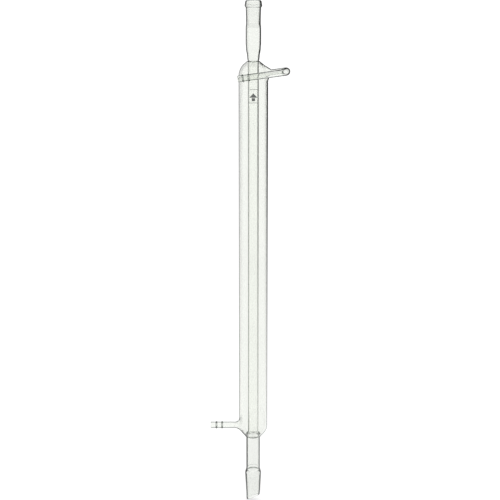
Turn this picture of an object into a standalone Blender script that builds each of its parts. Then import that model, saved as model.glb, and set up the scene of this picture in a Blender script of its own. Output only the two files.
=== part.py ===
"""Liebig condenser: a straight glass condensing tube in a water jacket, with a ground
socket at its head, a ground cone with a slanted drip tip at its foot, and two side arms
for the cooling water.

Frame: +Z runs up the condenser's axis. The origin is on that axis in the gauge plane of
the ground cone, where its large end seats in the flask or adapter that holds it up.
The water inlet points to -X. The water outlet leaves towards +X, turns back through 180
degrees on the -Y side of the jacket, and ends pointing to -X.
"""
import math

import bmesh
import bpy
from mathutils import Vector

for old in list(bpy.data.objects):
    bpy.data.objects.remove(old, do_unlink=True)

MM = 0.001

# ---------------------------------------------------------------- driving dimensions, mm
FIT_GAP = 0.3            # left between glass pieces that are fused on the real condenser

JACKET_R = 16.45         # outer radius of the water jacket
JACKET_WALL = 1.5
JACKET_LOW = 70.0        # where the straight jacket tube meets the lower shoulder
JACKET_HIGH = 456.0      # where it meets the upper shoulder

TUBE_R = 6.0             # condensing tube, outer radius
TUBE_BORE_R = 4.75
TUBE_TOP = 481.3
TUBE_FLARE_LOW = 44.6    # the foot of the tube is opened out to the width of the stem
TUBE_FLARE_R = 7.95

STEM_R = 8.0             # drip stem under the jacket
STEM_WALL = 1.4
STEM_LOW = 6.9
STEM_HIGH = 44.3

CONE_R = 9.4             # large end of the ground cone, a 1:10 taper on the diameter
CONE_GROUND = 22.0       # length of the ground zone
JOINT_TAPER = 0.05       # change of radius per mm of length
CONE_WALL = 1.7
TIP_MID = -31.25         # height of the slanted cut on the axis
TIP_SLOPE = 0.411        # rise of the cut per mm towards +X
TIP_SHEAR_FROM = -24.0   # rings below this height lean over to meet the cut

SOCKET_TOP = 547.6
SOCKET_GROUND_LOW = 523.0
SOCKET_BORE_TOP_R = 7.2
SOCKET_LOW = 481.6

ARM_R = 3.6              # side arms and hose connections, outer radius
ARM_BORE_R = 2.55
RIDGE_R = 4.25           # crest of the two hose ridges
HOSE_LEN = 27.55
RIDGE_FROM_END = (6.7, 13.3)

INLET_Z = 58.4
INLET_FILLET = 4.8
INLET_STUB_END = 21.75

OUTLET_Z = 465.8         # where the outlet's line crosses the condenser's axis
OUTLET_TILT = math.radians(7.8)
OUTLET_FILLET = 4.2
OUTLET_STUB_END = 21.05
BEND_R = 10.75           # radius of the return bend's centreline
BEND_START = 25.9
OUTLET_END = -17.5       # mouth of the outlet, measured along its own line

ROUND_SEG = 24
JACKET_SEG = 32
ARM_SEG = 16

# ---------------------------------------------------------------- materials
CLEAR = dict(color=(0.90, 0.94, 0.89), rough=0.02)
GROUND = dict(color=(0.88, 0.90, 0.87), rough=0.35)


def glass(name, color, rough):
    mat = bpy.data.materials.new(name + "_glass")
    mat.use_nodes = True
    bsdf = mat.node_tree.nodes["Principled BSDF"]
    bsdf.inputs["Base Color"].default_value = (*color, 1.0)
    bsdf.inputs["Roughness"].default_value = rough
    bsdf.inputs["Metallic"].default_value = 0.0
    bsdf.inputs["IOR"].default_value = 1.47
    bsdf.inputs["Transmission Weight"].default_value = 0.9
    return mat


def finish_object(name, bm, look, smooth_angle=40.0):
    """Makes a named object from a closed bmesh in millimetres."""
    bmesh.ops.remove_doubles(bm, verts=bm.verts, dist=1e-4)
    bmesh.ops.recalc_face_normals(bm, faces=bm.faces)
    for v in bm.verts:
        v.co *= MM
    mesh = bpy.data.meshes.new(name)
    bm.to_mesh(mesh)
    bm.free()
    obj = bpy.data.objects.new(name, mesh)
    bpy.context.scene.collection.objects.link(obj)
    mesh.shade_smooth()
    mesh.set_sharp_from_angle(angle=math.radians(smooth_angle))
    if look:
        mesh.materials.append(glass(name, **look))
    return obj


def turned_mesh(section, seg):
    """A closed section of (radius, height) points, turned about Z."""
    bm = bmesh.new()
    verts = [bm.verts.new((r, 0.0, z)) for r, z in section]
    edges = [bm.edges.new((verts[i], verts[(i + 1) % len(verts)]))
             for i in range(len(verts))]
    bmesh.ops.spin(bm, geom=verts + edges, cent=(0, 0, 0), axis=(0, 0, 1),
                   dvec=(0, 0, 0), angle=2 * math.pi, steps=seg,
                   use_merge=True, use_duplicate=False)
    return bm


def offset_inward(profile, wall):
    """The inner wall of a turned shell: each outer point moved square to the profile."""
    out = []
    for i, (r, z) in enumerate(profile):
        r0, z0 = profile[max(i - 1, 0)]
        r1, z1 = profile[min(i + 1, len(profile) - 1)]
        dr, dz = r1 - r0, z1 - z0
        n = math.hypot(dr, dz)
        out.append((r - wall * dz / n, z + wall * dr / n))
    return out


def radius_at(profile, z):
    """Outer radius of a turned profile at a height, by straight interpolation."""
    pts = sorted(profile, key=lambda p: p[1])
    if z <= pts[0][1]:
        return pts[0][0]
    for (r0, z0), (r1, z1) in zip(pts, pts[1:]):
        if z <= z1:
            return r0 + (r1 - r0) * (z - z0) / (z1 - z0)
    return pts[-1][0]


# ---------------------------------------------------------------- the jacket's profiles
UPPER_NECK_R = 8.2       # the shoulders are drawn in to these radii, round the ring seals
LOWER_NECK_R = 9.5
UPPER_PROFILE = [
    (JACKET_R, JACKET_HIGH + FIT_GAP), (JACKET_R, 466.5), (16.25, 468.4),
    (15.4, 470.9), (14.2, 473.6), (12.9, 476.0), (11.2, 477.9), (9.4, 479.3),
    (7.4, 480.6),
]
LOWER_PROFILE = [
    (8.6, 44.5), (9.6, 45.7), (11.1, 47.5), (12.6, 49.1), (14.0, 50.9), (15.4, 53.2),
    (16.2, 55.4), (JACKET_R, 57.8), (JACKET_R, JACKET_LOW - FIT_GAP),
]


# ---------------------------------------------------------------- side-arm flares
def arm_frame(origin_z, direction):
    d = Vector(direction).normalized()
    side = Vector((0, 1, 0))
    up = d.cross(side)
    if up.z < 0:
        up.negate()
    return Vector((0, 0, origin_z)), d, side, up


def meet_shell(frame, rho, theta, profile, inset):
    """Distance along the arm's line at which a line parallel to it leaves the shell."""
    o, d, side, up = frame
    lo, hi = 1.0, 30.0
    for _ in range(40):
        mid = 0.5 * (lo + hi)
        p = o + d * mid + side * (rho * math.cos(theta)) + up * (rho * math.sin(theta))
        if math.hypot(p.x, p.y) < radius_at(profile, p.z) - inset:
            lo = mid
        else:
            hi = mid
    return 0.5 * (lo + hi)


def flare_mesh(frame, profile, inset, base_r, fillet, tube_r, radius_cut, run_end, dive):
    """A solid trumpet that grows from the shell's wall into the arm's tube.
    inset is 0 for the outside, or the wall for the bore. radius_cut is how far the
    fillet circle grows where it lies inside the glass."""
    o, d, side, up = frame
    bm = bmesh.new()
    rings = []
    steps = 5
    start = math.radians(72)
    centre = tube_r + radius_cut + fillet
    for k in range(-1, steps + 1):
        phi = start * (1 - max(k, 0) / steps)
        # the fillet's own radius grows by the wall on the bore's side
        f = fillet + radius_cut + (inset - radius_cut) * math.sin(phi)
        rho = centre - f * math.cos(phi)
        h = fillet - f * math.sin(phi) + inset
        t = min(max(h / (fillet + inset), 0.0), 1.0)
        ring = []
        for i in range(ARM_SEG):
            th = 2 * math.pi * i / ARM_SEG
            s0 = meet_shell(frame, rho, th, profile, inset)
            s = s0 * (1 - t) + (base_r - inset) * t + h
            if k < 0:
                s -= dive
            p = o + d * s + side * (rho * math.cos(th)) + up * (rho * math.sin(th))
            ring.append(bm.verts.new(p))
        rings.append(ring)
    last = []
    for i in range(ARM_SEG):
        th = 2 * math.pi * i / ARM_SEG
        p = o + d * run_end + side * (tube_r * math.cos(th)) + up * (tube_r * math.sin(th))
        last.append(bm.verts.new(p))
    rings.append(last)
    for a, b in zip(rings, rings[1:]):
        for i in range(ARM_SEG):
            j = (i + 1) % ARM_SEG
            bm.faces.new((a[i], a[j], b[j], b[i]))
    for ring in (rings[0], rings[-1]):
        c = bm.verts.new(sum((v.co for v in ring), Vector()) / len(ring))
        for i in range(ARM_SEG):
            bm.faces.new((ring[i], ring[(i + 1) % ARM_SEG], c))
    return bm


def as_cutter(obj):
    obj.hide_render = True
    obj.display_type = "WIRE"
    return obj


def boolean(target, tool, operation):
    mod = target.modifiers.new(operation.lower() + "_" + tool.name, "BOOLEAN")
    mod.operation = operation
    mod.solver = "EXACT"
    mod.object = tool


def hollow_section(inner, neck_r, neck_end, open_end):
    """Turned section of a shoulder's hollow, with the round way out through its neck."""
    kept = [(r, z) for r, z in inner if r > neck_r + 0.15]
    small = [(r, z) for r, z in inner if r <= neck_r + 0.15]
    if inner[0][0] < inner[-1][0]:
        (r0, z0), (r1, z1) = small[-1], kept[0]
    else:
        (r0, z0), (r1, z1) = small[0], kept[-1]
    meet = (neck_r, z0 + (z1 - z0) * (neck_r - r0) / (r1 - r0))
    if inner[0][0] < inner[-1][0]:
        return [(2.0, neck_end), (neck_r, neck_end), meet] + kept[:-1] + [
            (kept[-1][0], open_end), (2.0, open_end)]
    return [(2.0, open_end), (kept[0][0], open_end)] + kept[1:] + [
        meet, (neck_r, neck_end), (2.0, neck_end)]


def shoulder(name, profile, neck_r, neck_end, open_end, frame, fillet, stub_end):
    """One end of the water jacket with the root of its side arm."""
    low, high = profile[0][1], profile[-1][1]
    body = finish_object(
        name, turned_mesh([(4.0, low)] + profile + [(4.0, high)], JACKET_SEG), CLEAR, 30.0)
    inner = offset_inward(profile, JACKET_WALL)
    root = as_cutter(finish_object(
        name + "_arm_root",
        flare_mesh(frame, profile, 0.0, JACKET_R, fillet, ARM_R, 0.0, stub_end, 1.0),
        None))
    hollow = as_cutter(finish_object(
        name + "_hollow",
        turned_mesh(hollow_section(inner, neck_r, neck_end, open_end), JACKET_SEG), None))
    bore = as_cutter(finish_object(
        name + "_arm_bore",
        flare_mesh(frame, profile, JACKET_WALL, JACKET_R, fillet, ARM_BORE_R,
                   ARM_R - ARM_BORE_R, stub_end + 3.0, 2.0),
        None))
    boolean(body, root, "UNION")
    boolean(body, hollow, "DIFFERENCE")
    boolean(body, bore, "DIFFERENCE")
    return body


# ---------------------------------------------------------------- hose connections
def hose_section(length):
    """Turned section of a hose connection, its mouth at height 0, running up."""
    out = [(3.2, 0.0), (3.5, 0.25), (ARM_R, 0.8)]
    for at in RIDGE_FROM_END:
        out += [(ARM_R, at - 1.5), (4.0, at - 0.75), (RIDGE_R, at),
                (4.0, at + 0.75), (ARM_R, at + 1.5)]
    out.append((ARM_R, length))
    return out + [(ARM_BORE_R, length), (ARM_BORE_R, 0.25), (2.7, 0.0)]


def hose_connection(name, mouth, direction):
    """A hose connection whose mouth is at a point and whose body runs along direction."""
    obj = finish_object(name, turned_mesh(hose_section(HOSE_LEN), ARM_SEG), CLEAR, 50.0)
    obj.location = Vector(mouth) * MM
    obj.rotation_mode = "QUATERNION"
    obj.rotation_quaternion = Vector(direction).to_track_quat("Z", "Y")
    return obj


# ================================================================ the pieces
# Ground socket: rim bead, tapered ground bore, and the shank that swells and then
# narrows to the condensing tube.
socket_outer = [
    (6.3, SOCKET_LOW), (6.7, 483.4), (7.0, 486.6), (7.2, 489.1), (7.75, 491.5),
    (8.15, 494.0), (8.25, 497.6), (8.5, 500.6), (8.5, 517.6), (8.1, 522.4),
    (8.1, 531.0), (8.4, 538.6), (9.3, 541.6), (9.55, 543.5), (9.3, 545.5),
    (8.75, 547.1), (8.3, SOCKET_TOP),
]
socket_ground_low_r = SOCKET_BORE_TOP_R - JOINT_TAPER * (545.0 - SOCKET_GROUND_LOW)
socket_inner = [
    (7.55, SOCKET_TOP), (7.25, 547.0), (SOCKET_BORE_TOP_R, 545.0),
    (socket_ground_low_r, SOCKET_GROUND_LOW), (6.95, 519.5), (7.1, 516.5),
    (7.1, 501.2), (6.85, 498.0), (6.7, 494.4), (6.2, 491.8), (5.75, 489.4),
    (5.5, 486.4), (5.15, 483.6), (4.95, SOCKET_LOW),
]
ground_socket = finish_object(
    "ground_socket", turned_mesh(socket_outer + socket_inner, ROUND_SEG), GROUND)

# Condensing tube, opened out at its foot.
tube_outer = [
    (TUBE_FLARE_R, TUBE_FLARE_LOW), (7.45, 45.9), (6.75, 47.6), (6.2, 49.6),
    (TUBE_R, 52.0), (TUBE_R, TUBE_TOP),
]
tube_inner = [
    (TUBE_BORE_R, TUBE_TOP), (TUBE_BORE_R, 52.4), (4.95, 50.0), (5.5, 48.0),
    (6.15, 46.3), (6.6, TUBE_FLARE_LOW),
]
condensing_tube = finish_object(
    "condensing_tube", turned_mesh(tube_outer + tube_inner, ROUND_SEG), CLEAR)

# Ring seals: the collars of glass where tube, jacket and end pieces are fused together.
upper_ring_seal = finish_object("upper_ring_seal", turned_mesh([
    (TUBE_R + FIT_GAP, 478.9), (7.4, 478.5), (7.9, 478.9), (7.9, 480.2),
    (7.2, 480.9), (TUBE_R + FIT_GAP, 481.3)], ROUND_SEG), CLEAR)
lower_ring_seal = finish_object("lower_ring_seal", turned_mesh([
    (STEM_R + FIT_GAP, 42.9), (8.9, 43.2), (9.2, 44.4), (9.2, 46.4),
    (8.9, 47.2), (STEM_R + FIT_GAP, 47.4)], ROUND_SEG), CLEAR)

# Water jacket: a straight tube between two shoulders.
jacket_tube = finish_object("jacket_tube", turned_mesh([
    (JACKET_R, JACKET_LOW), (JACKET_R, JACKET_HIGH),
    (JACKET_R - JACKET_WALL, JACKET_HIGH), (JACKET_R - JACKET_WALL, JACKET_LOW)],
    JACKET_SEG), CLEAR)


inlet_frame = arm_frame(INLET_Z, (-1, 0, 0))
outlet_frame = arm_frame(OUTLET_Z, (math.cos(OUTLET_TILT), 0, math.sin(OUTLET_TILT)))

upper_shoulder = shoulder(
    "upper_shoulder", UPPER_PROFILE, UPPER_NECK_R, 486.0, 450.0,
    outlet_frame, OUTLET_FILLET, OUTLET_STUB_END)
lower_shoulder = shoulder(
    "lower_shoulder", LOWER_PROFILE, LOWER_NECK_R, 38.0, 76.0,
    inlet_frame, INLET_FILLET, INLET_STUB_END)

# Water inlet: a ridged hose connection, straight out to -X.
inlet_mouth_x = -(INLET_STUB_END + FIT_GAP + HOSE_LEN)
inlet_hose_connection = hose_connection(
    "inlet_hose_connection", (inlet_mouth_x, 0, INLET_Z), (1, 0, 0))

# Water outlet: a return bend that carries the second hose connection back past the
# front of the jacket.
o, d, _, up = outlet_frame
front = Vector((0, -1, 0))


def on_arm(s, forward):
    return o + d * s + front * forward


def bend_path():
    yield on_arm(OUTLET_STUB_END + FIT_GAP, 0.0), front
    steps = 12
    for k in range(steps + 1):
        psi = math.pi * k / steps
        outward = d * math.sin(psi) - front * math.cos(psi)
        centre = on_arm(BEND_START, BEND_R)
        yield centre + outward * BEND_R, -outward
    yield on_arm(OUTLET_END + HOSE_LEN + FIT_GAP, 2 * BEND_R), -front


bm = bmesh.new()
rings = []
for centre, inward in bend_path():
    pair = []
    for radius in (ARM_R, ARM_BORE_R):
        pair.append([bm.verts.new(
            centre + inward * (radius * math.cos(2 * math.pi * i / ARM_SEG))
            + up * (radius * math.sin(2 * math.pi * i / ARM_SEG)))
            for i in range(ARM_SEG)])
    rings.append(pair)
for i in range(ARM_SEG):
    j = (i + 1) % ARM_SEG
    for a, b in zip(rings, rings[1:]):
        for w in (0, 1):
            bm.faces.new((a[w][i], a[w][j], b[w][j], b[w][i]))
    for end in (rings[0], rings[-1]):
        bm.faces.new((end[0][i], end[0][j], end[1][j], end[1][i]))
outlet_bend = finish_object("outlet_bend", bm, CLEAR)

outlet_hose_connection = hose_connection(
    "outlet_hose_connection", on_arm(OUTLET_END, 2 * BEND_R), d)

# Drip stem under the jacket.
drip_stem = finish_object("drip_stem", turned_mesh([
    (STEM_R, STEM_LOW), (STEM_R, STEM_HIGH), (STEM_R - STEM_WALL, STEM_HIGH),
    (STEM_R - STEM_WALL, STEM_LOW)], ROUND_SEG), CLEAR)

# Ground cone with its drip tip, whose rings lean over to meet the slanted cut.
cone_outer = [
    (7.85, TIP_MID), (8.02, TIP_SHEAR_FROM), (CONE_R - JOINT_TAPER * CONE_GROUND, -CONE_GROUND),
    (CONE_R, 0.0), (9.2, 1.2), (8.6, 3.0), (8.05, 4.8), (STEM_R, STEM_LOW - FIT_GAP),
]
cone_inner = [
    (STEM_R - STEM_WALL, STEM_LOW - FIT_GAP), (6.65, 4.8), (7.1, 2.6),
    (CONE_R - CONE_WALL, -0.5), (CONE_R - CONE_WALL - JOINT_TAPER * CONE_GROUND, -CONE_GROUND),
    (6.45, TIP_SHEAR_FROM), (6.35, TIP_MID),
]
bm = turned_mesh(cone_outer + cone_inner, ROUND_SEG)
for v in bm.verts:
    if v.co.z < TIP_SHEAR_FROM:
        lean = (TIP_SHEAR_FROM - v.co.z) / (TIP_SHEAR_FROM - TIP_MID)
        v.co.z += lean * TIP_SLOPE * v.co.x
ground_cone = finish_object("ground_cone", bm, GROUND)
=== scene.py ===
"""The looks of the liebig condenser: blown and drawn clear glass with frosted ground joints."""
import math

import bmesh
import bpy
from mathutils import Matrix, Vector


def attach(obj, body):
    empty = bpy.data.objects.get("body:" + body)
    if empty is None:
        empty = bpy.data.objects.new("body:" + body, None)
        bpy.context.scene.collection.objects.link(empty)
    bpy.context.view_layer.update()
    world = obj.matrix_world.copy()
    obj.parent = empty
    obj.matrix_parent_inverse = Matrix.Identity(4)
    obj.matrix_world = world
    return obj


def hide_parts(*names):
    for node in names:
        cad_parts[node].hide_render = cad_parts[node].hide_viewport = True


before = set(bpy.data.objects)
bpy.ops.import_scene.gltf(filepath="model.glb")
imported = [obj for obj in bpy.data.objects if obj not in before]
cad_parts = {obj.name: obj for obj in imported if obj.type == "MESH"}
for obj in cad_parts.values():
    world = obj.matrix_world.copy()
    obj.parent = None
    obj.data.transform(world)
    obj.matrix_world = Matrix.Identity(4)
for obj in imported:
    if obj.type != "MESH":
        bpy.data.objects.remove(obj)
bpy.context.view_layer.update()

MM = 0.001
SEG = 128                # facets round the large turned pieces
ARM_SEG = 64             # facets round the side arms
SEAM = 0.03              # mm left at a fused seam
scene = bpy.context.scene

# ================================================================ camera
CAM_AT = Vector((-0.0037, -1.531, 0.593))
CAM_PITCH = math.radians(12.0)
cam_data = bpy.data.cameras.new("camera")
cam_data.sensor_width = 36.0
cam_data.lens = 36.0 * 1374.0 / 500.0
cam = bpy.data.objects.new("camera", cam_data)
scene.collection.objects.link(cam)
cam.location = CAM_AT
cam.rotation_euler = (math.pi / 2 - CAM_PITCH, 0.0, 0.0)
cam.data.clip_start, cam.data.clip_end = 0.05, 100.0
scene.camera = cam


# ================================================================ materials
def node(tree, kind, **props):
    n = tree.nodes.new(kind)
    for key, value in props.items():
        setattr(n, key, value)
    return n


def glass_material(name, tint, painted_edge_shade, limb=None, ground=None, bump=0.004, streak_axis="Z"):
    """Borosilicate glass: clear at the face, with painted edge shade where the wall is seen edge
    on:
    there the Layer Weight facing turns the glass colour to a dark grey-green, which draws dark
    lines at its silhouettes. limb is the share of the outside radius taken by the bore: from there
    outwards the wall is seen edge on. ground is (z low, z high) in metres of a frosted zone, or
    None."""
    mat = bpy.data.materials.new(name)
    mat.use_nodes = True
    t = mat.node_tree
    link = t.links.new
    bsdf = t.nodes["Principled BSDF"]
    bsdf.inputs["IOR"].default_value = 1.473
    bsdf.inputs["Transmission Weight"].default_value = 1.0
    bsdf.inputs["Metallic"].default_value = 0.0
    bsdf.inputs["Roughness"].default_value = 0.0

    coord = node(t, "ShaderNodeTexCoord")
    # painted edge shade: the Layer Weight facing ramps the glass colour towards the dark second
    # colour near the silhouette; without a limb, the bore side gets a weaker painted shade
    facing = node(t, "ShaderNodeLayerWeight")
    facing.inputs["Blend"].default_value = 0.5
    curve = node(t, "ShaderNodeMapRange", interpolation_type="SMOOTHSTEP")
    link(facing.outputs["Facing"], curve.inputs["Value"])
    start = 1.0 - math.sqrt(max(1.0 - limb * limb, 0.0)) if limb else 0.9
    curve.inputs["From Min"].default_value = start - 0.03
    curve.inputs["From Max"].default_value = start + 0.10 if limb else 1.0
    curve.inputs["To Max"].default_value = 1.0 if limb else 0.3

    # slight change of tint along the glass, as between one draw and the next
    cloud = node(t, "ShaderNodeTexNoise")
    cloud.inputs["Scale"].default_value = 14.0
    cloud.inputs["Detail"].default_value = 2.0
    link(coord.outputs["Object"], cloud.inputs["Vector"])
    drift = node(t, "ShaderNodeMapRange")
    drift.inputs["From Min"].default_value = 0.3
    drift.inputs["From Max"].default_value = 0.7
    drift.inputs["To Min"].default_value = -0.02
    drift.inputs["To Max"].default_value = 0.02
    link(cloud.outputs["Fac"], drift.inputs["Value"])
    amount = node(t, "ShaderNodeMath", operation="ADD", use_clamp=True)
    link(curve.outputs["Result"], amount.inputs[0])
    link(drift.outputs["Result"], amount.inputs[1])
    # the glass colour: its own tint, turned towards the painted edge shade at the silhouettes,
    # with the slight change of tint
    colour = node(t, "ShaderNodeMix", data_type="RGBA")
    colour.inputs["A"].default_value = (*tint, 1.0)
    colour.inputs["B"].default_value = (*painted_edge_shade, 1.0)
    link(amount.outputs[0], colour.inputs["Factor"])
    link(colour.outputs["Result"], bsdf.inputs["Base Color"])

    # draw lines: noise stretched along the tube
    stretch = node(t, "ShaderNodeMapping")
    along = {"X": (6.0, 260.0, 260.0), "Y": (260.0, 6.0, 260.0), "Z": (260.0, 260.0, 6.0)}
    stretch.inputs["Scale"].default_value = along[streak_axis]
    link(coord.outputs["Object"], stretch.inputs["Vector"])
    lines = node(t, "ShaderNodeTexNoise")
    lines.inputs["Scale"].default_value = 1.0
    lines.inputs["Detail"].default_value = 3.0
    link(stretch.outputs["Vector"], lines.inputs["Vector"])
    height = lines.outputs["Fac"]
    relief = node(t, "ShaderNodeBump")
    relief.inputs["Strength"].default_value = bump
    relief.inputs["Distance"].default_value = 0.001
    link(height, relief.inputs["Height"])
    link(relief.outputs["Normal"], bsdf.inputs["Normal"])

    if ground:
        split = node(t, "ShaderNodeSeparateXYZ")
        link(coord.outputs["Object"], split.inputs[0])
        wobble = node(t, "ShaderNodeTexNoise")
        wobble.inputs["Scale"].default_value = 240.0
        link(coord.outputs["Object"], wobble.inputs["Vector"])
        shift = node(t, "ShaderNodeMath", operation="MULTIPLY_ADD")
        link(wobble.outputs["Fac"], shift.inputs[0])
        shift.inputs[1].default_value = 0.0008
        link(split.outputs["Z"], shift.inputs[2])
        low = node(t, "ShaderNodeMapRange", interpolation_type="SMOOTHSTEP")
        low.inputs["From Min"].default_value = ground[0] - 0.0003
        low.inputs["From Max"].default_value = ground[0] + 0.0005
        link(shift.outputs[0], low.inputs["Value"])
        high = node(t, "ShaderNodeMapRange", interpolation_type="SMOOTHSTEP")
        high.inputs["From Min"].default_value = ground[1] - 0.0005
        high.inputs["From Max"].default_value = ground[1] + 0.0003
        high.inputs["To Min"].default_value = 1.0
        high.inputs["To Max"].default_value = 0.0
        link(shift.outputs[0], high.inputs["Value"])
        zone = node(t, "ShaderNodeMath", operation="MULTIPLY")
        link(low.outputs["Result"], zone.inputs[0])
        link(high.outputs["Result"], zone.inputs[1])
        # only the ground side of the wall is frosted: outside of the cone, inside of the socket
        radius = node(t, "ShaderNodeVectorMath", operation="LENGTH")
        flat = node(t, "ShaderNodeCombineXYZ")
        link(split.outputs["X"], flat.inputs["X"])
        link(split.outputs["Y"], flat.inputs["Y"])
        link(flat.outputs[0], radius.inputs[0])
        side = node(t, "ShaderNodeMath",
                    operation="GREATER_THAN" if ground[3] else "LESS_THAN")
        link(radius.outputs["Value"], side.inputs[0])
        side.inputs[1].default_value = ground[2]
        mask = node(t, "ShaderNodeMath", operation="MULTIPLY")
        link(zone.outputs[0], mask.inputs[0])
        link(side.outputs[0], mask.inputs[1])
        grain = node(t, "ShaderNodeTexNoise")
        grain.inputs["Scale"].default_value = 2600.0
        grain.inputs["Detail"].default_value = 2.0
        link(coord.outputs["Object"], grain.inputs["Vector"])
        rough_span = node(t, "ShaderNodeMapRange")
        rough_span.inputs["To Min"].default_value = 0.16
        rough_span.inputs["To Max"].default_value = 0.34
        link(grain.outputs["Fac"], rough_span.inputs["Value"])
        rough_out = node(t, "ShaderNodeMath", operation="MULTIPLY")
        link(mask.outputs[0], rough_out.inputs[0])
        link(rough_span.outputs["Result"], rough_out.inputs[1])
        link(rough_out.outputs[0], bsdf.inputs["Roughness"])
    return mat


JACKET_TINT = (0.902, 0.912, 0.889)
TUBE_TINT = (0.985, 0.990, 0.978)
END_TINT = (0.882, 0.892, 0.872)
SOCKET_TINT = (0.897, 0.908, 0.884)
ARM_TINT = (0.925, 0.936, 0.915)
# The two colours below are painted edge shade: the dark colours the glass goes to where its wall
# is seen edge on.
BORE_PAINTED_SHADE = (0.80, 0.84, 0.79)
PAINTED_SHADE_DARK = (0.008, 0.010, 0.008)


def glass_pair(name, tint, painted_edge_shade, limb, **more):
    """The outside and the bore side of one piece."""
    return (glass_material(name, tint, painted_edge_shade, limb=limb, **more),
            glass_material(name + "_bore", tint, BORE_PAINTED_SHADE, **more))


# The second colour of each glass is painted edge shade, drawn at the silhouettes of its walls.
glass_jacket = glass_pair("jacket_glass", JACKET_TINT, (0.03, 0.045, 0.03), 0.933)
glass_tube = glass_pair("condensing_tube_glass", TUBE_TINT, (0.10, 0.12, 0.09), 0.84)
glass_stem = glass_pair("stem_glass", END_TINT, PAINTED_SHADE_DARK, 0.79)
glass_arm = glass_pair("arm_glass", ARM_TINT, (0.04, 0.06, 0.04), 0.80, streak_axis="X")
glass_bend = (glass_material("blown_bend_glass", ARM_TINT, (0.08, 0.11, 0.08), limb=0.91,
                             streak_axis="X"),)
# the seal glass is tinted half dark all over: painted shade on the upper ring seal
glass_seal_shade = (glass_material("seal_painted_shade_glass", (0.50, 0.53, 0.49), PAINTED_SHADE_DARK, limb=0.93,
                             bump=0.02),)
# this glass darkens from a low facing on: painted shade at the seams, the hose ridges, the lower
# seal and the opening of the cone's bore
glass_broad_edge_shade = (glass_material("broad_edge_painted_shade_glass", TUBE_TINT, (0.02, 0.03, 0.02), limb=0.50,
                              bump=0.02),)
# the underside glass is dark all over: painted shade on the downward faces of the tip and of the
# upper seal's bowl
glass_underside_shade = (glass_material("underside_painted_shade_glass", (0.40, 0.43, 0.39), (0.02, 0.03, 0.02),
                             limb=0.50, bump=0.02),)
glass_socket = glass_pair("socket_glass", SOCKET_TINT, PAINTED_SHADE_DARK, 0.82,
                          ground=(0.5230, 0.5455, 0.0078, False))
glass_rim = glass_material("socket_rim_glass", SOCKET_TINT, PAINTED_SHADE_DARK, limb=0.80)
glass_cone = glass_pair("cone_glass", END_TINT, PAINTED_SHADE_DARK, 0.79,
                        ground=(-0.0220, 0.0000, 0.0081, True))


# ================================================================ mesh helpers, in mm
def soften(points, rounds=3):
    """Corner-cutting: the control points of a profile become a smooth curve through the
    middles of its sides. The two ends stay where they are."""
    for _ in range(rounds):
        out = [points[0]]
        for a, b in zip(points, points[1:]):
            out.append(tuple(0.75 * p + 0.25 * q for p, q in zip(a, b)))
            out.append(tuple(0.25 * p + 0.75 * q for p, q in zip(a, b)))
        out.append(points[-1])
        points = out
    return points


def thin_out(points, least=0.12):
    """Drops points that lie closer together than least, in mm, and points on a straight."""
    out = [points[0]]
    for p in points[1:-1]:
        if math.dist(p, out[-1]) >= least:
            out.append(p)
    out.append(points[-1])
    keep = [out[0]]
    for a, b, c in zip(out, out[1:], out[2:]):
        u = (b[0] - keep[-1][0], b[1] - keep[-1][1])
        w = (c[0] - b[0], c[1] - b[1])
        turn = abs(u[0] * w[1] - u[1] * w[0]) / max(math.hypot(*u) * math.hypot(*w), 1e-9)
        if turn > 0.002 or math.hypot(*u) > 14.0:
            keep.append(b)
    keep.append(out[-1])
    return keep


def ring_of(bm, frame_, s, rho, seg):
    o, d, side, up = frame_
    return [bm.verts.new(o + d * s + side * (rho * math.cos(2 * math.pi * i / seg))
                         + up * (rho * math.sin(2 * math.pi * i / seg)))
            for i in range(seg)]


def skin(bm, a, b):
    n = len(a)
    for i in range(n):
        j = (i + 1) % n
        bm.faces.new((a[i], a[j], b[j], b[i]))


AXIS_Z = (Vector((0, 0, 0)), Vector((0, 0, 1)), Vector((1, 0, 0)), Vector((0, 1, 0)))


def turned(bm, section, frame_=AXIS_Z, seg=SEG, close=True):
    """Turns a closed loop of (radius, distance along the axis)."""
    rings = [ring_of(bm, frame_, z, r, seg) for r, z in section]
    for a, b in zip(rings, rings[1:]):
        skin(bm, a, b)
    if close:
        skin(bm, rings[-1], rings[0])
    return rings


def bore_of_revolution(f):
    """True where a face of a turned piece looks towards the axis."""
    c = f.calc_center_median()
    return f.normal.x * c.x + f.normal.y * c.y < -0.15 * math.hypot(c.x, c.y)


def make(name, bm, mat, nodes, angle=38.0, pick=bore_of_revolution):
    """Turns bm into a piece. mat is a material, or a tuple of them with pick to choose one
    for each face by its place in the tuple."""
    bmesh.ops.remove_doubles(bm, verts=bm.verts, dist=2e-4)
    bmesh.ops.recalc_face_normals(bm, faces=bm.faces)
    if isinstance(mat, tuple):
        for f in bm.faces:
            f.material_index = int(pick(f))
    for v in bm.verts:
        v.co *= MM
    mesh = bpy.data.meshes.new(name)
    bm.to_mesh(mesh)
    bm.free()
    mesh.shade_smooth()
    mesh.set_sharp_from_angle(angle=math.radians(angle))
    obj = bpy.data.objects.new(name, mesh)
    scene.collection.objects.link(obj)
    for m in mat if isinstance(mat, tuple) else (mat,):
        mesh.materials.append(m)
    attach(obj, "root")
    if nodes:
        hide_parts(*nodes)
    return obj


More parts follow.
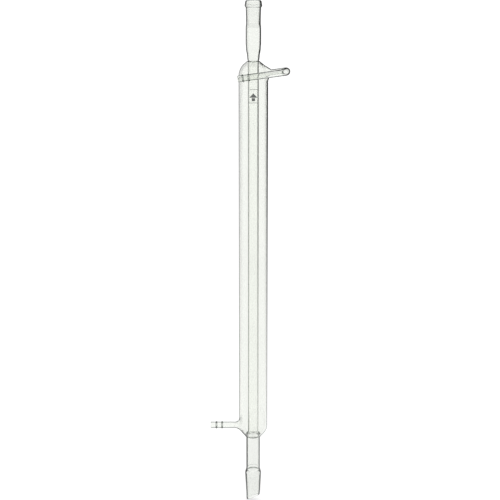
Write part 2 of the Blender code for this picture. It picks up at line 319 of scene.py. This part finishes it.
# ================================================================ dimensions, as in the CAD
JACKET_R, JACKET_WALL = 16.45, 1.5
TUBE_R, TUBE_BORE_R, TUBE_TOP = 6.0, 4.75, 481.55
STEM_R, STEM_WALL, STEM_LOW, STEM_HIGH = 8.0, 1.4, 6.75, 44.45
ARM_R, ARM_BORE_R, RIDGE_R, HOSE_LEN = 3.6, 2.55, 4.25, 27.55
INLET_Z, INLET_FILLET, INLET_STUB = 58.4, 4.8, 21.9
OUTLET_Z, OUTLET_FILLET, OUTLET_STUB = 465.8, 4.2, 21.2
TILT = math.radians(7.8)
BEND_R, BEND_START, OUTLET_END = 10.75, 25.9, -17.5
INLET_MOUTH = -(21.75 + 0.3 + HOSE_LEN)

# ---------------------------------------------------------------- ground socket
socket_outer = thin_out(soften([
    (6.05, TUBE_TOP + SEAM), (6.45, 482.3), (6.8, 484.6), (7.02, 487.0), (7.15, 489.3),
    (7.75, 491.6), (8.1, 493.9), (8.22, 497.4), (8.42, 499.4), (8.52, 501.4), (8.52, 509.0),
    (8.52, 517.0), (8.35, 519.8), (8.12, 521.8), (8.12, 525.0), (8.16, 531.0), (8.36, 536.6),
    (8.48, 539.2), (8.50, 540.1), (8.95, 540.3), (9.62, 540.9), (9.66, 542.2), (9.62, 543.0),
    (9.38, 543.7), (9.28, 544.9), (9.1, 546.0), (8.75, 547.0), (8.2, 547.6)]), 0.1)
socket_inner = thin_out(soften([
    (7.75, 547.6), (7.3, 547.35), (7.22, 546.2), (7.2, 545.2), (6.65, 534.0), (6.1, 523.4),
    (6.12, 522.4), (6.55, 520.6), (7.0, 518.6), (7.1, 516.4), (7.1, 509.0), (7.1, 502.0),
    (6.95, 499.6), (6.8, 497.0), (6.68, 494.2), (6.3, 492.0), (5.72, 489.6), (5.55, 487.2),
    (5.35, 484.8), (5.0, 482.6), (4.85, TUBE_TOP + SEAM)]))


def socket_glass_of(f):
    """0 outside, 1 bore, 2 the thick rim and the thin-walled taper to the seal."""
    if bore_of_revolution(f):
        return 1
    z = f.calc_center_median().z
    return 2 if z > 542.6 or z < 495.0 else 0


bm = bmesh.new()
turned(bm, socket_outer + socket_inner)
ground_socket = make("ground_socket_glass", bm, glass_socket + (glass_rim,), ["ground_socket"],
                     pick=socket_glass_of)

# ---------------------------------------------------------------- condensing tube
tube_outer = thin_out(soften([
    (7.97, 44.5), (7.85, 45.2), (7.45, 46.3), (6.75, 47.8), (6.2, 49.8), (6.0, 52.2), (6.0, 56.0),
    (6.0, 260.0), (6.0, 476.0), (6.0, TUBE_TOP)]))
tube_inner = thin_out(soften([
    (4.75, TUBE_TOP), (4.75, 476.0), (4.75, 260.0), (4.75, 56.0), (4.75, 52.6), (4.95, 50.2),
    (5.5, 48.2), (6.2, 46.6), (6.55, 45.3), (6.6, 44.5)]))
bm = bmesh.new()
turned(bm, tube_outer + tube_inner)
condensing_tube = make("condensing_tube_glass", bm, glass_tube, ["condensing_tube"])

# ---------------------------------------------------------------- drip stem
bm = bmesh.new()
turned(bm, [(STEM_R, STEM_LOW + SEAM), (STEM_R, 18.0), (STEM_R, 32.0), (STEM_R, STEM_HIGH),
            (STEM_R - STEM_WALL, STEM_HIGH), (STEM_R - STEM_WALL, 32.0),
            (STEM_R - STEM_WALL, 18.0), (STEM_R - STEM_WALL, STEM_LOW + SEAM)])
drip_stem = make("drip_stem_glass", bm, glass_stem, ["drip_stem"])

# ---------------------------------------------------------------- ground cone
cone_outer = thin_out(soften([
    (7.55, -31.25), (7.85, -31.0), (7.92, -29.0), (8.02, -26.0), (8.12, -24.2), (8.3, -22.0),
    (8.85, -11.0), (9.38, -0.5), (9.42, 0.1), (9.3, 1.0), (8.9, 2.3), (8.4, 3.7), (8.02, 5.1),
    (7.96, 6.0), (8.0, STEM_LOW)]))
cone_inner = thin_out(soften([
    (6.6, STEM_LOW), (6.6, 5.6), (6.58, 4.4), (6.66, 3.8), (7.1, 3.2), (7.6, 2.8), (7.72, 1.6),
    (7.7, -0.6),
    (7.15, -11.0), (6.62, -21.6), (6.5, -24.0), (6.42, -27.0), (6.36, -30.2), (6.6, -31.2)]))
bm = bmesh.new()
rings = turned(bm, cone_outer + cone_inner)
for v in bm.verts:
    if v.co.z < -23.0:
        lean = (-23.0 - v.co.z) / (31.25 - 23.0)
        lean = lean * lean * (1.4 - 0.4 * lean)
        v.co.z += lean * (0.411 * v.co.x - 0.15 * v.co.y + 0.85)


def cone_glass_of(f):
    """0 outside, 1 bore, 2 where the bore opens out, with painted shade at its edges, 3 the
    downward faces at the melted edge of the tip, dark all over with painted shade.
    """
    c = f.calc_center_median()
    if bore_of_revolution(f):
        return 2 if 2.5 < c.z < 4.2 else 1
    return 3 if c.z < -23.0 and f.normal.z < -0.55 else 0


ground_cone = make("ground_cone_glass", bm, glass_cone + glass_broad_edge_shade + glass_underside_shade, ["ground_cone"],
                   pick=cone_glass_of)


# ---------------------------------------------------------------- water jacket
UPPER = [(JACKET_R, 440.0), (JACKET_R, 455.0), (JACKET_R, 463.5), (16.42, 466.8), (16.1, 469.0),
         (15.3, 471.4), (14.2, 473.8), (12.95, 476.0), (11.3, 477.9), (9.4, 479.3), (8.6, 479.9),
         (7.95, 480.5)]
LOWER = [(9.28, 45.2), (9.9, 46.0), (11.1, 47.4), (12.6, 49.1), (14.0, 50.9), (15.3, 53.1),
         (16.2, 55.4), (16.43, 57.8), (JACKET_R, 60.5), (JACKET_R, 68.0), (JACKET_R, 84.0)]


def offset(profile, wall):
    out = []
    for i, (r, z) in enumerate(profile):
        r0, z0 = profile[max(i - 1, 0)]
        r1, z1 = profile[min(i + 1, len(profile) - 1)]
        n = math.hypot(r1 - r0, z1 - z0)
        out.append((r - wall * (z1 - z0) / n, z + wall * (r1 - r0) / n))
    return out


lower_curve = thin_out(soften(LOWER), 0.25)
upper_curve = thin_out(soften(UPPER), 0.25)
straight = [(JACKET_R, z) for z in (110.0, 150.0, 200.0, 250.0, 300.0, 350.0, 390.0, 420.0)]


def densify(points, most):
    out = [points[0]]
    for a, b in zip(points, points[1:]):
        n = max(1, math.ceil(math.dist(a, b) / most))
        out += [tuple(a[k] + (b[k] - a[k]) * i / n for k in (0, 1)) for i in range(1, n + 1)]
    return out


low_dense = densify([p for p in lower_curve if p[1] <= 84.0], 0.8)
high_dense = densify([p for p in upper_curve if p[1] >= 440.0], 0.8)
JACKET_OUT = low_dense + straight + high_dense
JACKET_IN = offset(JACKET_OUT, JACKET_WALL)


def radius_at(profile, z):
    if z <= profile[0][1]:
        return profile[0][0]
    for (r0, z0), (r1, z1) in zip(profile, profile[1:]):
        if z0 <= z <= z1 and z1 > z0:
            return r0 + (r1 - r0) * (z - z0) / (z1 - z0)
    return profile[-1][0]


def arm_frame(z, direction):
    d = Vector(direction).normalized()
    side = Vector((0, 1, 0))
    up = d.cross(side)
    if up.z < 0:
        up.negate()
    return (Vector((0, 0, z)), d, side, up)


INLET = arm_frame(INLET_Z, (-1, 0, 0))
OUTLET = arm_frame(OUTLET_Z, (math.cos(TILT), 0, math.sin(TILT)))


def meet(frame_, rho, th, profile):
    o, d, side, up = frame_
    lo, hi = 1.0, 30.0
    for _ in range(36):
        mid = 0.5 * (lo + hi)
        p = o + d * mid + side * (rho * math.cos(th)) + up * (rho * math.sin(th))
        if math.hypot(p.x, p.y) < radius_at(profile, p.z):
            lo = mid
        else:
            hi = mid
    return 0.5 * (lo + hi)


def flare(bm, frame_, profile, inset, fillet, spread, tube_r, run_end, straight):
    """The trumpet of one wall surface, from the shell to the end of the stub. It reaches
    fillet along the arm and spread across it. straight, from 0 to 1, flattens its upper side
    from a hollow curve to a slope.
    Returns its first ring, which lies on the shell, and its last."""
    o, d, side, up = frame_
    cut = ARM_R - tube_r
    centre = tube_r + cut + spread
    rings = []
    steps = 14
    for k in range(steps + 1):
        phi = math.pi / 2 * (1 - k / steps)
        more = cut + (inset - cut) * math.sin(phi)
        ring = []
        for i in range(ARM_SEG):
            th = 2 * math.pi * i / ARM_SEG
            power = 1 + straight * max(0.0, math.sin(th)) ** 2
            rho = centre - (spread + more) * max(math.cos(phi), 0.0) ** power
            h = fillet - (fillet + more) * math.sin(phi) ** power + inset
            t = min(max(h / (fillet + inset), 0.0), 1.0)
            t = t * t * (3 - 2 * t)
            s = meet(frame_, rho, th, profile) * (1 - t) + (JACKET_R - inset) * t + h
            ring.append(bm.verts.new(o + d * s + side * (rho * math.cos(th))
                                     + up * (rho * math.sin(th))))
        rings.append(ring)
    rings.append(ring_of(bm, frame_, run_end - 0.4, tube_r, ARM_SEG))
    rings.append(ring_of(bm, frame_, run_end, tube_r, ARM_SEG))
    for a, b in zip(rings, rings[1:]):
        skin(bm, a, b)
    return rings[0], rings[-1], centre


def arm_rho(frame_, p):
    o, d, side, up = frame_
    q = p - o
    return math.hypot(q.dot(side), q.dot(up)), q.dot(d)




def jacket_glass_of(f):
    """0 outside, 1 where a face looks into the water space, 2 outside of an arm's root."""
    c = f.calc_center_median()
    for frame_ in (INLET, OUTLET):
        rho, s = arm_rho(frame_, c)
        if s > 15.0 and rho < 5.5 and math.hypot(c.x, c.y) > JACKET_R + 0.3:
            o, d, side, up = frame_
            q = c - o
            across = side * q.dot(side) + up * q.dot(up)
            return 1 if f.normal.dot(across) < 0 else 2
    return bore_of_revolution(f)


bm = bmesh.new()
walls = []
for profile, inset in ((JACKET_OUT, 0.0), (JACKET_IN, JACKET_WALL)):
    rings = turned(bm, profile, close=False)
    walls.append(rings)
skin(bm, walls[0][0], walls[1][0])
skin(bm, walls[0][-1], walls[1][-1])
for frame_, fillet, spread_, stub, straight_ in (
        (INLET, INLET_FILLET, INLET_FILLET, INLET_STUB, 0.0),
        (OUTLET, OUTLET_FILLET, 6.2, OUTLET_STUB, 0.7)):
    ends = []
    for k, (profile, inset, tube_r) in enumerate(
            ((JACKET_OUT, 0.0, ARM_R), (JACKET_IN, JACKET_WALL, ARM_BORE_R))):
        first, last, centre = flare(bm, frame_, profile, inset, fillet, spread_, tube_r,
                                    stub, straight_)
        ends.append(last)
        # open the shell round the arm, and fill the strip between the hole and the flare
        members = {v for ring in walls[k] for v in ring if v.is_valid}
        doomed = [v for v in members
                  if arm_rho(frame_, v.co)[1] > 0 and arm_rho(frame_, v.co)[0] < centre + 0.55]
        for v in doomed:
            members.discard(v)
        walls[k] = [[v for v in ring if v not in set(doomed)] for ring in walls[k]] \
            if doomed else walls[k]
        bmesh.ops.delete(bm, geom=doomed, context="VERTS")
        rim = [e for e in bm.edges if len(e.link_faces) == 1 and all(
            v in members and arm_rho(frame_, v.co)[1] > 0
            and arm_rho(frame_, v.co)[0] < centre + 4.0 for v in e.verts)]
        mouth = [e for v in first for e in v.link_edges
                 if e.other_vert(v) in first and len(e.link_faces) == 1]
        mouth = list(dict.fromkeys(mouth))
        filled = bmesh.ops.triangle_fill(bm, use_beauty=True, use_dissolve=False,
                                         edges=rim + mouth, normal=frame_[1])
    skin(bm, ends[0], ends[1])
water_jacket = make("water_jacket_glass", bm, glass_jacket + glass_arm[:1],
                    ["jacket_tube", "upper_shoulder", "lower_shoulder"],
                    pick=jacket_glass_of)

# ---------------------------------------------------------------- ring seals
bm = bmesh.new()
turned(bm, thin_out(soften([
    (6.05, 479.75), (6.35, 479.8), (6.7, 480.05), (6.95, 480.4), (7.3, 480.5), (7.8, 480.2),
    (7.9, 480.5), (7.8, 480.75), (7.2, 481.05), (6.5, 481.4), (6.05, 481.5)]), 0.05))


def seal_glass_of(f):
    """1 on the downward faces of the bowl of the seal, under the wall, dark with painted shade."""
    c = f.calc_center_median()
    return f.normal.z < -0.2 and math.hypot(c.x, c.y) < 7.05


# the upper seal: painted shade all over, darkest on the downward faces of its bowl
upper_seal = make("upper_ring_seal_glass", bm, glass_seal_shade + glass_underside_shade, ["upper_ring_seal"],
                  pick=seal_glass_of)
bm = bmesh.new()
turned(bm, thin_out(soften([
    (8.05, 44.8), (8.5, 44.55), (9.0, 44.9), (9.2, 45.7), (9.2, 46.6), (8.9, 47.3), (8.4, 47.3),
    (8.05, 46.6)]), 0.05))
# the lower seal: painted shade at its edges
lower_seal = make("lower_ring_seal_glass", bm, glass_broad_edge_shade[0], ["lower_ring_seal"])


# ---------------------------------------------------------------- hose connections
def hose_profile(length, ridges=(6.7, 13.3)):
    """Outside of a hose connection from its mouth, (radius, distance)."""
    pts = [(2.95, 0.0), (3.3, 0.02), (3.56, 0.35), (3.6, 1.2), (3.6, 3.2)]
    for at in ridges:
        pts += [(3.6, at - 2.2), (3.6, at - 1.05), (3.66, at - 0.9), (4.36, at - 0.28),
                (4.36, at + 0.28), (3.66, at + 0.9), (3.6, at + 1.05), (3.6, at + 2.2)]
    return thin_out(soften(pts + [(3.6, length)]), 0.08)


hose_bore = thin_out(soften([(2.95, 0.0), (2.68, 0.02), (2.56, 0.4), (2.55, 1.2), (2.55, 5.0),
                             (2.55, HOSE_LEN)]), 0.08)
bm = bmesh.new()
mouth_frame = (Vector((INLET_MOUTH, 0, INLET_Z)), Vector((1, 0, 0)), Vector((0, 1, 0)),
               Vector((0, 0, 1)))
length = -INLET_STUB - SEAM - INLET_MOUTH
outside = [p for p in hose_profile(length)]
inside = [(r, min(s, length)) for r, s in hose_bore]
turned(bm, outside + inside[::-1][:-1], mouth_frame, ARM_SEG)


def inlet_glass_of(f):
    """0 outside, 1 bore, 2 the hose ridges, with painted shade at their edges."""
    c = f.calc_center_median()
    if f.normal.y * c.y + f.normal.z * (c.z - INLET_Z) < 0:
        return 1
    return 2 if math.hypot(c.y, c.z - INLET_Z) > 3.68 else 0


inlet = make("inlet_hose_connection_glass", bm, glass_arm + glass_broad_edge_shade,
             ["inlet_hose_connection"], pick=inlet_glass_of)

# ---------------------------------------------------------------- outlet: bend and hose connection
o, d, side_, up = OUTLET
front = Vector((0, -1, 0))


def on_arm(s, forward):
    return o + d * s + front * forward


path = []                # (centre, inward, distance to the mouth or None)
arc_steps = 48
path.append((on_arm(OUTLET_STUB + SEAM, 0.0), front))
path.append((on_arm(24.0, 0.0), front))
for k in range(arc_steps + 1):
    psi = math.pi * k / arc_steps
    outward = d * math.sin(psi) - front * math.cos(psi)
    path.append((on_arm(BEND_START, BEND_R) + outward * BEND_R, -outward))
bm = bmesh.new()


def bend_rings(radius_of):
    out = []
    for n, (c, inward) in enumerate(path):
        r = radius_of(n)
        out.append([bm.verts.new(c + inward * (r * math.cos(2 * math.pi * i / ARM_SEG))
                                 + up * (r * math.sin(2 * math.pi * i / ARM_SEG)))
                    for i in range(ARM_SEG)])
    return out


def leg_rings(profile):
    out = []
    for r, s in reversed(profile):
        c = on_arm(OUTLET_END + s, 2 * BEND_R)
        out.append([bm.verts.new(c - front * (r * math.cos(2 * math.pi * i / ARM_SEG))
                                 + up * (r * math.sin(2 * math.pi * i / ARM_SEG)))
                    for i in range(ARM_SEG)])
    return out


def swell(n):
    """The bend is blown out a little at its middle."""
    return 0.7 * math.sin(math.pi * max(n - 2, 0) / arc_steps) ** 2


outer_rings = bend_rings(lambda n: ARM_R + swell(n)) + leg_rings(
    hose_profile(BEND_START - OUTLET_END - 1.5, (5.8, 12.3)))
inner_rings = bend_rings(lambda n: ARM_BORE_R + swell(n)) + leg_rings(hose_bore)
for rings in (outer_rings, inner_rings):
    for a, b in zip(rings, rings[1:]):
        skin(bm, a, b)
skin(bm, outer_rings[0], inner_rings[0])
skin(bm, outer_rings[-1], inner_rings[-1])


def outlet_glass_of(f):
    """0 outside, 1 where a face looks at the centreline of the bent arm, 2 the ridges, with
    painted shade at their edges, 3 the thinner glass at the outside of the bend, with a narrower
    painted edge shade."""
    c = f.calc_center_median()
    q = c - o
    s, w = q.dot(d), q.dot(front)
    if s > BEND_START:
        turn = Vector((s - BEND_START, w - BEND_R)).normalized() * BEND_R
        centre = on_arm(BEND_START + turn.x, BEND_R + turn.y)
    else:
        centre = on_arm(s, 0.0 if w < BEND_R else 2 * BEND_R)
    if f.normal.dot(c - centre) < 0:
        return 1
    if s > BEND_START + 4.0:
        return 3
    return 2 if s < 0 and (c - centre).length > 3.68 and w > BEND_R else 0


outlet = make("outlet_arm_glass", bm, glass_arm + glass_broad_edge_shade + glass_bend,
              ["outlet_bend", "outlet_hose_connection"], pick=outlet_glass_of)


# ================================================================ printed mark on the jacket
def ink_material():
    mat = bpy.data.materials.new("fired_grey_enamel")
    mat.use_nodes = True
    t = mat.node_tree
    b = t.nodes["Principled BSDF"]
    b.inputs["Roughness"].default_value = 0.55
    b.inputs["IOR"].default_value = 1.5
    coord = node(t, "ShaderNodeTexCoord")
    speck = node(t, "ShaderNodeTexNoise")
    speck.inputs["Scale"].default_value = 1800.0
    t.links.new(coord.outputs["Object"], speck.inputs["Vector"])
    ramp = node(t, "ShaderNodeMix", data_type="RGBA")
    ramp.inputs["A"].default_value = (0.06, 0.065, 0.06, 1)
    ramp.inputs["B"].default_value = (0.16, 0.17, 0.16, 1)
    t.links.new(speck.outputs["Fac"], ramp.inputs["Factor"])
    t.links.new(ramp.outputs["Result"], b.inputs["Base Color"])
    return mat


def enamel(name, outlines, thick=0.06):
    """Flat outlines of (distance round the jacket, height), fired onto the jacket's front."""
    bm = bmesh.new()
    for pts in outlines:
        bm.faces.new([bm.verts.new((u, 0.0, z)) for u, z in pts])
    for k in range(-12, 13):
        bmesh.ops.bisect_plane(bm, geom=bm.verts[:] + bm.edges[:] + bm.faces[:], dist=1e-6,
                               plane_co=(0.5 * k, 0, 0), plane_no=(1, 0, 0))
    grown = bmesh.ops.extrude_face_region(bm, geom=bm.faces[:], use_keep_orig=True)
    for v in (g for g in grown["geom"] if isinstance(g, bmesh.types.BMVert)):
        v.co.y = thick
    for v in bm.verts:
        u, t, z = v.co
        r, turn = JACKET_R + 0.012 + t, u / JACKET_R
        v.co = (r * math.sin(turn), -r * math.cos(turn), z)
    return make(name, bm, ink_material(), None)


MARK_Z = 442.9
flow_mark = enamel("flow_mark_enamel", [
    [(-4.4, MARK_Z + 8.3), (4.4, MARK_Z + 8.3), (4.4, MARK_Z + 8.75), (-4.4, MARK_Z + 8.75)],
    [(-4.4, MARK_Z - 6.45), (4.4, MARK_Z - 6.45), (4.4, MARK_Z - 6.0), (-4.4, MARK_Z - 6.0)],
    [(-4.4, MARK_Z - 0.4), (4.4, MARK_Z - 0.4), (0.0, MARK_Z + 4.4)],
    [(-1.8, MARK_Z - 4.3), (1.8, MARK_Z - 4.3), (1.8, MARK_Z - 0.9), (-1.8, MARK_Z - 0.9)],
])


# ================================================================ stage
FLOOR_Z = -0.0352
bm = bmesh.new()
bmesh.ops.create_circle(bm, cap_ends=True, radius=40.0, segments=96)
mesh = bpy.data.meshes.new("floor")
bm.to_mesh(mesh)
bm.free()
floor = bpy.data.objects.new("floor", mesh)
floor.location.z = FLOOR_Z
scene.collection.objects.link(floor)


fm = bpy.data.materials.new("floor_paper")
fm.use_nodes = True
ft = fm.node_tree
fb = ft.nodes["Principled BSDF"]
fb.inputs["Base Color"].default_value = (0.42, 0.42, 0.418, 1)
fb.inputs["Roughness"].default_value = 0.9
fb.inputs["Specular IOR Level"].default_value = 0.1
fb.inputs["Emission Color"].default_value = (1, 1, 1, 1)
fb.inputs["Emission Strength"].default_value = 0.68
mesh.materials.append(fm)

world = bpy.data.worlds.new("studio")
scene.world = world
world.use_nodes = True
bg = world.node_tree.nodes["Background"]
bg.inputs["Color"].default_value = (1, 1, 1, 1)
bg.inputs["Strength"].default_value = 1.0


def card(name, low, high, y, shades):
    """A studio flag, which shows only where light is reflected in the wall of the glass, so
    that nothing seen through the glass is darkened. shades holds two pairs of (height,
    brightness)."""
    bm = bmesh.new()
    quad = [bm.verts.new(p) for p in ((low[0], y, low[1]), (high[0], y, low[1]),
                                      (high[0], y, high[1]), (low[0], y, high[1]))]
    bm.faces.new(quad)
    me = bpy.data.meshes.new(name)
    bm.to_mesh(me)
    bm.free()
    ob = bpy.data.objects.new(name, me)
    scene.collection.objects.link(ob)
    mat = bpy.data.materials.new(name + "_cloth")
    mat.use_nodes = True
    t = mat.node_tree
    t.nodes.remove(t.nodes["Principled BSDF"])
    glow = node(t, "ShaderNodeEmission")
    # a ray that goes straight through closed glass crosses its surfaces an even number of
    # times, and one that is reflected in a wall an odd number of times
    path = node(t, "ShaderNodeLightPath")
    odd = node(t, "ShaderNodeMath", operation="MODULO")
    t.links.new(path.outputs["Ray Depth"], odd.inputs[0])
    odd.inputs[1].default_value = 2.0
    clear = node(t, "ShaderNodeBsdfTransparent")
    pick = node(t, "ShaderNodeMixShader")
    t.links.new(odd.outputs[0], pick.inputs["Fac"])
    t.links.new(clear.outputs[0], pick.inputs[1])
    t.links.new(glow.outputs[0], pick.inputs[2])
    t.links.new(pick.outputs[0], t.nodes["Material Output"].inputs["Surface"])
    pos = node(t, "ShaderNodeNewGeometry")
    xyz = node(t, "ShaderNodeSeparateXYZ")
    t.links.new(pos.outputs["Position"], xyz.inputs[0])
    span = node(t, "ShaderNodeMapRange")
    t.links.new(xyz.outputs["Z"], span.inputs["Value"])
    span.inputs["From Min"].default_value = shades[0][0]
    span.inputs["From Max"].default_value = shades[1][0]
    span.inputs["To Min"].default_value = shades[0][1]
    span.inputs["To Max"].default_value = shades[1][1]
    t.links.new(span.outputs["Result"], glow.inputs["Strength"])
    me.materials.append(mat)
    ob.visible_camera = False
    ob.visible_diffuse = False
    ob.visible_shadow = False
    return ob


card("flag_right", (0.0, -0.034), (0.9, 0.9), 0.25, [(0.0, 0.90), (0.36, 0.06)])
card("flag_left", (-0.9, -0.034), (0.0, 0.9), 0.25, [(0.05, 0.90), (0.40, 0.70)])
card("flag_low", (-0.12, -0.034), (0.0, 0.045), 0.05, [(0.02, 0.40), (0.045, 0.60)])

scene.view_settings.view_transform = "Standard"
scene.view_settings.look = "None"
scene.view_settings.exposure = 0.0
scene.view_settings.gamma = 1.0
scene.cycles.max_bounces = 40
scene.cycles.transmission_bounces = 36
scene.cycles.glossy_bounces = 8
scene.cycles.transparent_max_bounces = 16
scene.cycles.caustics_refractive = False
scene.cycles.caustics_reflective = False
